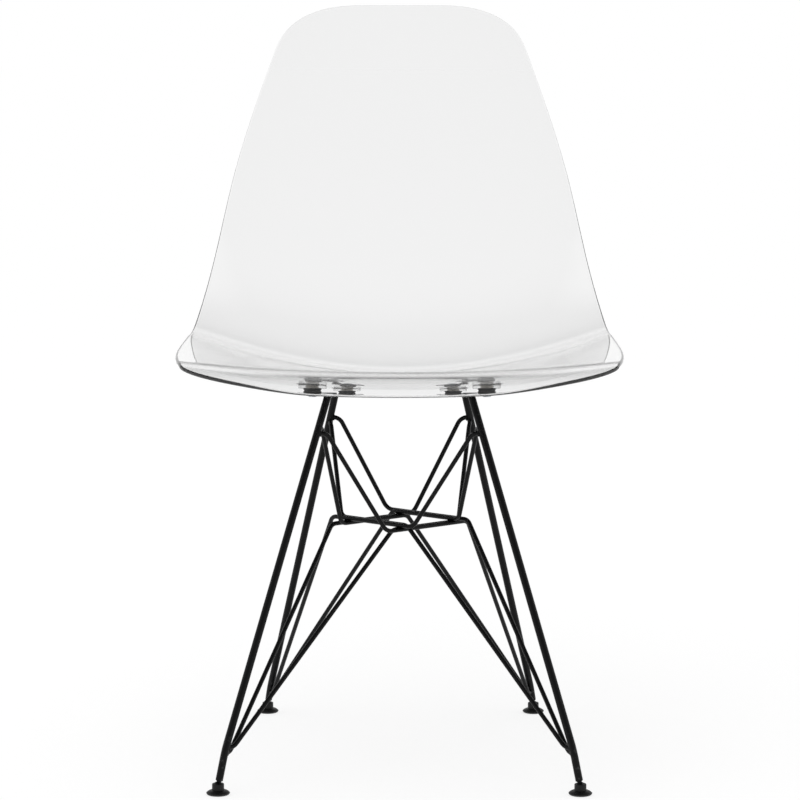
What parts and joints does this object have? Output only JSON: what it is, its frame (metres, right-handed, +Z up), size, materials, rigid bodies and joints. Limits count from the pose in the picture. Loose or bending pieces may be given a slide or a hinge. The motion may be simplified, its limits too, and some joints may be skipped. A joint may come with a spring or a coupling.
{
  "type": "shell side chair",
  "caption": "Armless side chair with a one-piece clear moulded shell on a black welded wire base with crossing braces and swivelling feet.",
  "frame": {"origin": "on the floor, at the middle of the chair's width and of its depth", "axes": "+Z up, +X to the right as seen from the front, and the sitter faces -Y"},
  "size_m": [0.4734, 0.5401, 0.8099],
  "materials": {
    "clear_polycarbonate": "gloss",
    "black_coated_steel": "satin",
    "zinc_plated_steel": "satin",
    "nickel_plated_brass": "satin",
    "rubber": "matte",
    "black_nylon": "matte"
  },
  "bodies": {
    "chair": {"seat_shell": "clear_polycarbonate", "shell_inserts": "nickel_plated_brass", "shock_mounts": "rubber", "mount_washers": "zinc_plated_steel", "spring_washers": "zinc_plated_steel", "mount_screws": "zinc_plated_steel", "mount_plate_front_left": "black_coated_steel", "leg_front_left": "black_coated_steel", "mount_plate_front_right": "black_coated_steel", "leg_front_right": "black_coated_steel", "mount_plate_rear_left": "black_coated_steel", "leg_rear_left": "black_coated_steel", "mount_plate_rear_right": "black_coated_steel", "leg_rear_right": "black_coated_steel", "brace_front_left_cross": "black_coated_steel", "brace_front_left_side": "black_coated_steel", "brace_front_right_cross": "black_coated_steel", "brace_front_right_side": "black_coated_steel", "brace_rear_left_cross": "black_coated_steel", "brace_rear_left_side": "black_coated_steel", "brace_rear_right_cross": "black_coated_steel", "brace_rear_right_side": "black_coated_steel"},
    "stud_front_left": {"ball_stud_front_left": "zinc_plated_steel"},
    "glide_front_left": {"foot_front_left": "black_nylon"},
    "stud_front_right": {"ball_stud_front_right": "zinc_plated_steel"},
    "glide_front_right": {"foot_front_right": "black_nylon"},
    "stud_rear_left": {"ball_stud_rear_left": "zinc_plated_steel"},
    "glide_rear_left": {"foot_rear_left": "black_nylon"},
    "stud_rear_right": {"ball_stud_rear_right": "zinc_plated_steel"},
    "glide_rear_right": {"foot_rear_right": "black_nylon"}
  },
  "joints": [
    {"name": "foot_spin_front_left", "type": "hinge", "parent": "chair", "child": "stud_front_left", "pos_m": [-0.187, -0.231, 0.009], "axis": [0.1955, 0.0782, 0.9776], "continuous": true},
    {"name": "foot_tilt_front_left", "type": "hinge", "parent": "stud_front_left", "child": "glide_front_left", "pos_m": [-0.187, -0.231, 0.009], "axis": [-0.3714, 0.9285, 0], "range_deg": [-12, 12]},
    {"name": "foot_spin_front_right", "type": "hinge", "parent": "chair", "child": "stud_front_right", "pos_m": [0.187, -0.231, 0.009], "axis": [-0.1955, 0.0782, 0.9776], "continuous": true},
    {"name": "foot_tilt_front_right", "type": "hinge", "parent": "stud_front_right", "child": "glide_front_right", "pos_m": [0.187, -0.231, 0.009], "axis": [-0.3714, -0.9285, 0], "range_deg": [-12, 12]},
    {"name": "foot_spin_rear_left", "type": "hinge", "parent": "chair", "child": "stud_rear_left", "pos_m": [-0.153, 0.1747, 0.009], "axis": [0.1516, -0.1204, 0.9811], "continuous": true},
    {"name": "foot_tilt_rear_left", "type": "hinge", "parent": "stud_rear_left", "child": "glide_rear_left", "pos_m": [-0.153, 0.1747, 0.009], "axis": [0.6219, 0.7831, 0], "range_deg": [-12, 12]},
    {"name": "foot_spin_rear_right", "type": "hinge", "parent": "chair", "child": "stud_rear_right", "pos_m": [0.153, 0.1747, 0.009], "axis": [-0.1516, -0.1204, 0.9811], "continuous": true},
    {"name": "foot_tilt_rear_right", "type": "hinge", "parent": "stud_rear_right", "child": "glide_rear_right", "pos_m": [0.153, 0.1747, 0.009], "axis": [0.6219, -0.7831, 0], "range_deg": [-12, 12]}
  ]
}
